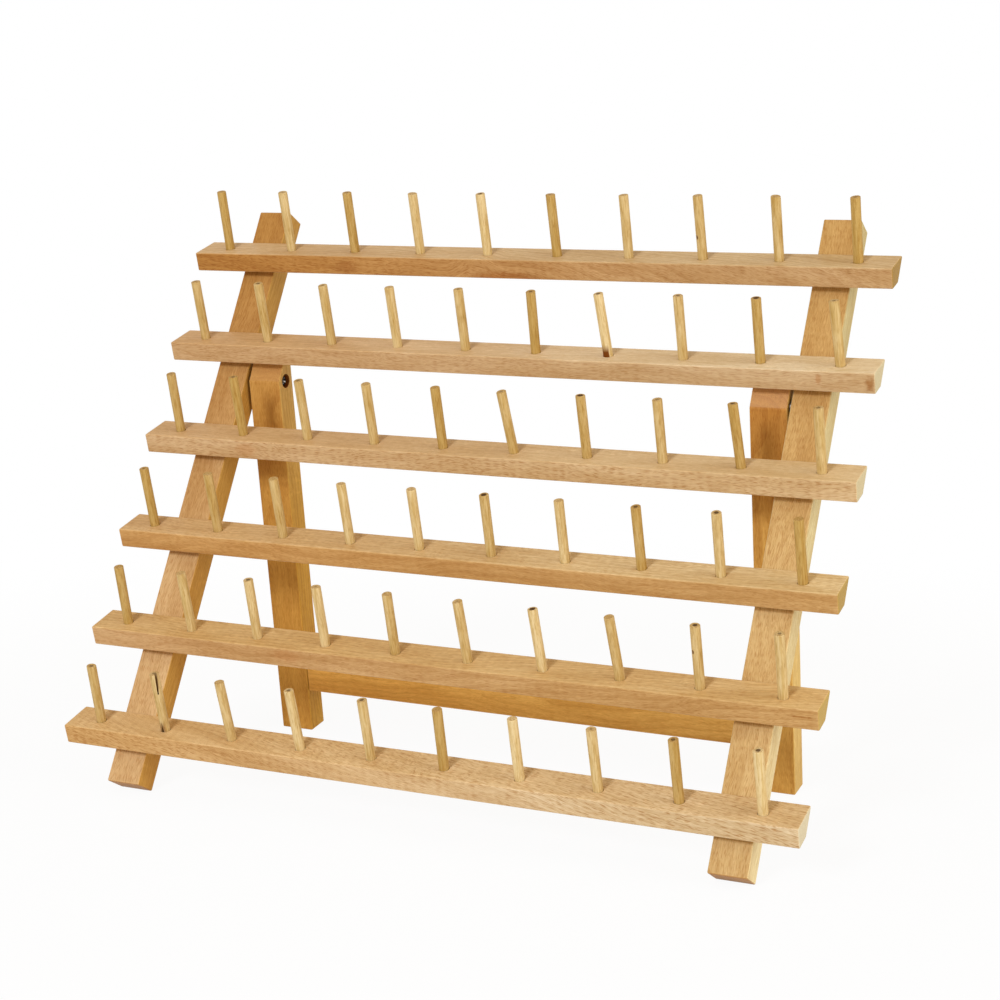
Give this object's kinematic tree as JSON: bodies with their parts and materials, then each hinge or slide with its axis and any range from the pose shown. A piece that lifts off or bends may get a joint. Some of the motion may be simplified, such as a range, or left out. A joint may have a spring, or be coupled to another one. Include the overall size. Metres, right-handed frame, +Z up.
{
  "type": "thread rack",
  "caption": "Folding wooden thread rack: pegged shelves across two leaning uprights, with a hinged rear stand that folds flat between them.",
  "frame": {"origin": "on the floor, under the middle of the rack's bounding box, with the stand open", "axes": "+X along the shelves to the right seen from the front, +Y to the back, +Z up; the pegs face -Y"},
  "size_m": [0.4, 0.182, 0.3086],
  "materials": {
    "shelf_beech": "planed beech, clear satin finish",
    "upright_beech": "planed beech, clear satin finish",
    "stand_beech": "planed beech, clear satin finish, warmer than the shelves",
    "peg_birch": "turned dowel, bare",
    "screw_steel": "plated",
    "washer_steel": "plated"
  },
  "bodies": {
    "front_frame": {"upright_left": "upright_beech", "upright_right": "upright_beech", "shelf_1": "shelf_beech", "shelf_2": "shelf_beech", "shelf_3": "shelf_beech", "shelf_4": "shelf_beech", "shelf_5": "shelf_beech", "shelf_6": "shelf_beech", "shelf_screw_left_1": "screw_steel", "shelf_screw_left_2": "screw_steel", "shelf_screw_left_3": "screw_steel", "shelf_screw_left_4": "screw_steel", "shelf_screw_left_5": "screw_steel", "shelf_screw_left_6": "screw_steel", "shelf_screw_right_1": "screw_steel", "shelf_screw_right_2": "screw_steel", "shelf_screw_right_3": "screw_steel", "shelf_screw_right_4": "screw_steel", "shelf_screw_right_5": "screw_steel", "shelf_screw_right_6": "screw_steel", "pivot_screw_left": "screw_steel", "pivot_screw_right": "screw_steel", "pivot_washer_left": "washer_steel", "pivot_washer_right": "washer_steel"},
    "rear_stand": {"stand_leg_left": "stand_beech", "stand_leg_right": "stand_beech", "crossbar": "stand_beech"}
  },
  "joints": [
    {"name": "stand_hinge", "type": "hinge", "parent": "front_frame", "child": "rear_stand", "pos_m": [0, 0.03519, 0.20532], "axis": [1, 0, 0], "range_deg": [-37.4, 0]}
  ]
}
